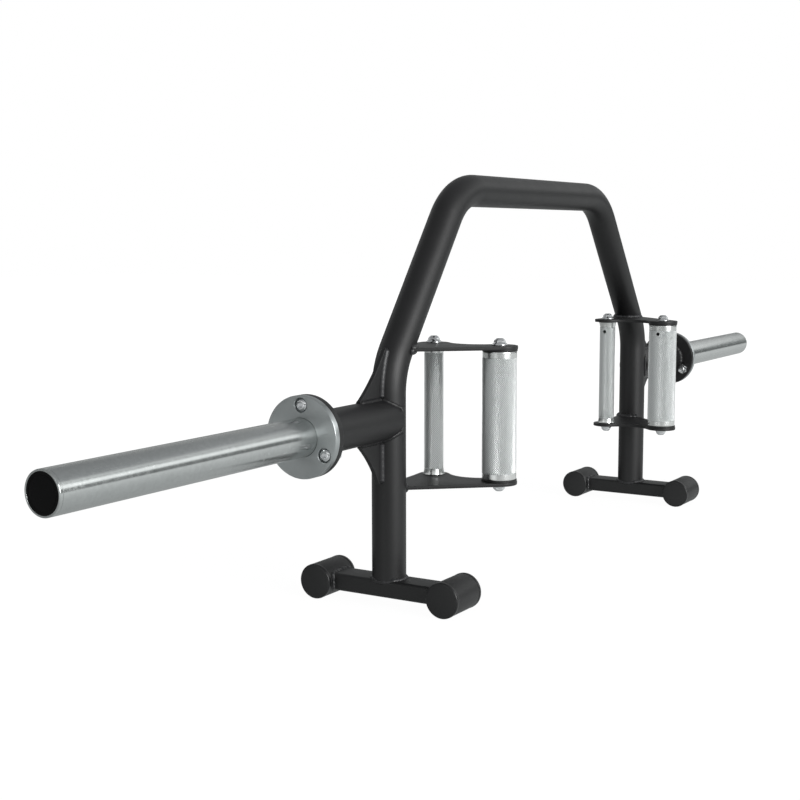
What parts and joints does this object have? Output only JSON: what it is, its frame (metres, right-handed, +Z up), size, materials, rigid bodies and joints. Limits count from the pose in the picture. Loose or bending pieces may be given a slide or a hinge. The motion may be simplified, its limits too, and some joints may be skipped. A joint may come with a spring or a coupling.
{
  "type": "open-ended trap bar",
  "caption": "Trap bar with a high open arch frame on tube feet, upright knurled grips in thin and thick sizes, and bolted-on plate sleeves at the ends.",
  "frame": {"origin": "middle of the bar's bounding box in plan, on the floor the feet stand on", "axes": "+X along the plate sleeves, +Y from the thick grips towards the thin grips, +Z up"},
  "size_m": [2.2, 0.2629, 0.6071],
  "materials": {
    "black_powder_coat": "satin black powder coat",
    "black_plastic": "moulded black plastic",
    "brushed_steel": "turned and brushed",
    "satin_chrome": "knurled, satin chrome",
    "bright_zinc": "bright zinc plate"
  },
  "bodies": {
    "root": {"frame_tube": "black_powder_coat", "stub_tube_left": "black_powder_coat", "frame_flange_left": "black_powder_coat", "sleeve_flange_left": "brushed_steel", "sleeve_left": "brushed_steel", "sleeve_cap_left": "black_plastic", "flange_bolt_left_1": "bright_zinc", "flange_nut_left_1": "bright_zinc", "flange_bolt_left_2": "bright_zinc", "flange_nut_left_2": "bright_zinc", "flange_bolt_left_3": "bright_zinc", "flange_nut_left_3": "bright_zinc", "gusset_left_upper": "black_powder_coat", "grip_plate_left_upper": "black_powder_coat", "gusset_left_lower": "black_powder_coat", "grip_plate_left_lower": "black_powder_coat", "foot_crossbar_left": "black_powder_coat", "foot_tube_left_front": "black_powder_coat", "foot_cap_left_front_outer": "black_plastic", "foot_cap_left_front_inner": "black_plastic", "foot_tube_left_rear": "black_powder_coat", "foot_cap_left_rear_outer": "black_plastic", "foot_cap_left_rear_inner": "black_plastic", "thin_grip_left": "satin_chrome", "thin_grip_bolt_left_upper": "bright_zinc", "thin_grip_bolt_left_lower": "bright_zinc", "thick_grip_left": "satin_chrome", "thick_grip_bolt_left_upper": "bright_zinc", "thick_grip_bolt_left_lower": "bright_zinc", "stub_tube_right": "black_powder_coat", "frame_flange_right": "black_powder_coat", "sleeve_flange_right": "brushed_steel", "sleeve_right": "brushed_steel", "sleeve_cap_right": "black_plastic", "flange_bolt_right_1": "bright_zinc", "flange_nut_right_1": "bright_zinc", "flange_bolt_right_2": "bright_zinc", "flange_nut_right_2": "bright_zinc", "flange_bolt_right_3": "bright_zinc", "flange_nut_right_3": "bright_zinc", "gusset_right_upper": "black_powder_coat", "grip_plate_right_upper": "black_powder_coat", "gusset_right_lower": "black_powder_coat", "grip_plate_right_lower": "black_powder_coat", "foot_crossbar_right": "black_powder_coat", "foot_tube_right_front": "black_powder_coat", "foot_cap_right_front_outer": "black_plastic", "foot_cap_right_front_inner": "black_plastic", "foot_tube_right_rear": "black_powder_coat", "foot_cap_right_rear_outer": "black_plastic", "foot_cap_right_rear_inner": "black_plastic", "thin_grip_right": "satin_chrome", "thin_grip_bolt_right_upper": "bright_zinc", "thin_grip_bolt_right_lower": "bright_zinc", "thick_grip_right": "satin_chrome", "thick_grip_bolt_right_upper": "bright_zinc", "thick_grip_bolt_right_lower": "bright_zinc"}
  },
  "joints": []
}
